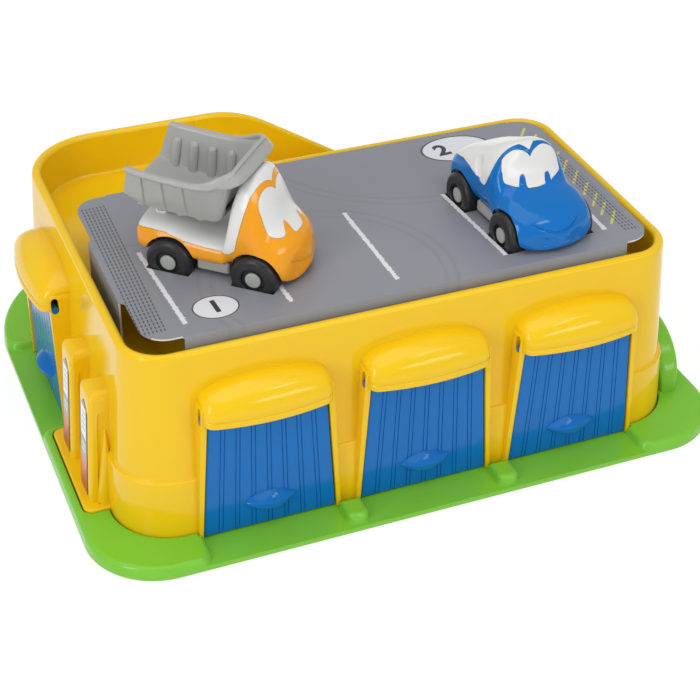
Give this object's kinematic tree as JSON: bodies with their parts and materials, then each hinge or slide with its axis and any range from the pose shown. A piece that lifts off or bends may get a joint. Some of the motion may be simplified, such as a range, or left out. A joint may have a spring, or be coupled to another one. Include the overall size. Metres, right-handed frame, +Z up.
{
  "type": "toy garage",
  "caption": "Toy garage with flap doors, a pump island, a railed roof deck, a ramp, a lift-off display card, a tipper truck and a small car.",
  "frame": {"origin": "bottom centre of the base plate", "axes": "+X to the right seen from the front, +Y towards the back, where the ramp is, +Z up; the front doors face -Y"},
  "size_m": [0.376, 0.319, 0.1879],
  "materials": {
    "yellow_plastic": "glossy injection-moulded plastic, through-coloured",
    "green_plastic": "glossy injection-moulded plastic, through-coloured",
    "door_blue_plastic": "satin-gloss moulded plastic with planked grooves",
    "screw_steel": "zinc-plated self-tapping screw",
    "label_paper": "laminated self-adhesive print",
    "printed_card": "varnished print on white board with bare cut edges",
    "orange_plastic": "glossy moulded plastic",
    "white_plastic": "glossy moulded plastic",
    "grey_plastic": "satin-gloss moulded plastic",
    "black_plastic": "satin moulded plastic wheel",
    "car_blue_plastic": "glossy moulded plastic"
  },
  "bodies": {
    "garage": {"base_plate": "green_plastic", "garage_body": "yellow_plastic", "pump_label_1": "label_paper", "pump_label_2": "label_paper", "base_screw_1": "screw_steel", "base_screw_2": "screw_steel", "base_screw_3": "screw_steel", "base_screw_4": "screw_steel", "base_screw_5": "screw_steel", "base_screw_6": "screw_steel"},
    "front_left_door": {"door_front_left": "door_blue_plastic"},
    "front_middle_door": {"door_front_middle": "door_blue_plastic"},
    "front_right_door": {"door_front_right": "door_blue_plastic"},
    "side_door": {"door_side": "door_blue_plastic"},
    "card": {"display_card": "printed_card"},
    "truck": {"truck_shell": "orange_plastic", "truck_insert": "white_plastic", "truck_chassis": "grey_plastic"},
    "truck_bed": {"truck_tipper_bed": "grey_plastic"},
    "truck_rear_wheels": {"truck_axle_rear": "grey_plastic", "truck_wheel_rear_left": "black_plastic", "truck_wheel_rear_right": "black_plastic"},
    "truck_front_wheels": {"truck_axle_front": "grey_plastic", "truck_wheel_front_left": "black_plastic", "truck_wheel_front_right": "black_plastic"},
    "car": {"car_shell": "car_blue_plastic", "car_insert": "white_plastic", "car_chassis": "grey_plastic"},
    "car_rear_wheels": {"car_axle_rear": "grey_plastic", "car_wheel_rear_left": "black_plastic", "car_wheel_rear_right": "black_plastic"},
    "car_front_wheels": {"car_axle_front": "grey_plastic", "car_wheel_front_left": "black_plastic", "car_wheel_front_right": "black_plastic"}
  },
  "joints": [
    {"name": "front_left_door_hinge", "type": "hinge", "parent": "garage", "child": "front_left_door", "pos_m": [-0.09, -0.1361, 0.08], "axis": [-1, 0, 0], "range_deg": [0, 60]},
    {"name": "front_middle_door_hinge", "type": "hinge", "parent": "garage", "child": "front_middle_door", "pos_m": [0, -0.1361, 0.08], "axis": [-1, 0, 0], "range_deg": [0, 60]},
    {"name": "front_right_door_hinge", "type": "hinge", "parent": "garage", "child": "front_right_door", "pos_m": [0.09, -0.1361, 0.08], "axis": [-1, 0, 0], "range_deg": [0, 60]},
    {"name": "side_door_hinge", "type": "hinge", "parent": "garage", "child": "side_door", "pos_m": [-0.1704, 0.025, 0.08], "axis": [0, 1, 0], "range_deg": [0, 60]},
    {"name": "card_lift", "type": "slide", "parent": "garage", "child": "card", "axis": [0, 0, 1], "range_m": [0, 0.06]},
    {"name": "truck_lift", "type": "slide", "parent": "card", "child": "truck", "axis": [0, 0, 1], "range_m": [0, 0.03]},
    {"name": "truck_bed_tip", "type": "hinge", "parent": "truck", "child": "truck_bed", "pos_m": [-0.10727, -0.03325, 0.1514], "axis": [-0.6691, -0.7431, 0], "range_deg": [0, 50]},
    {"name": "truck_rear_roll", "type": "hinge", "parent": "truck", "child": "truck_rear_wheels", "pos_m": [-0.10002, -0.03977, 0.1276], "axis": [0.6691, 0.7431, 0], "continuous": true},
    {"name": "truck_front_roll", "type": "hinge", "parent": "truck", "child": "truck_front_wheels", "pos_m": [-0.06398, -0.07223, 0.1276], "axis": [0.6691, 0.7431, 0], "continuous": true},
    {"name": "car_lift", "type": "slide", "parent": "card", "child": "car", "axis": [0, 0, 1], "range_m": [0, 0.03]},
    {"name": "car_rear_roll", "type": "hinge", "parent": "car", "child": "car_rear_wheels", "pos_m": [0.08147, -0.04611, 0.1276], "axis": [0.9974, 0.0715, 0], "continuous": true},
    {"name": "car_front_roll", "type": "hinge", "parent": "car", "child": "car_front_wheels", "pos_m": [0.08493, -0.09449, 0.1276], "axis": [0.9974, 0.0715, 0], "continuous": true}
  ]
}
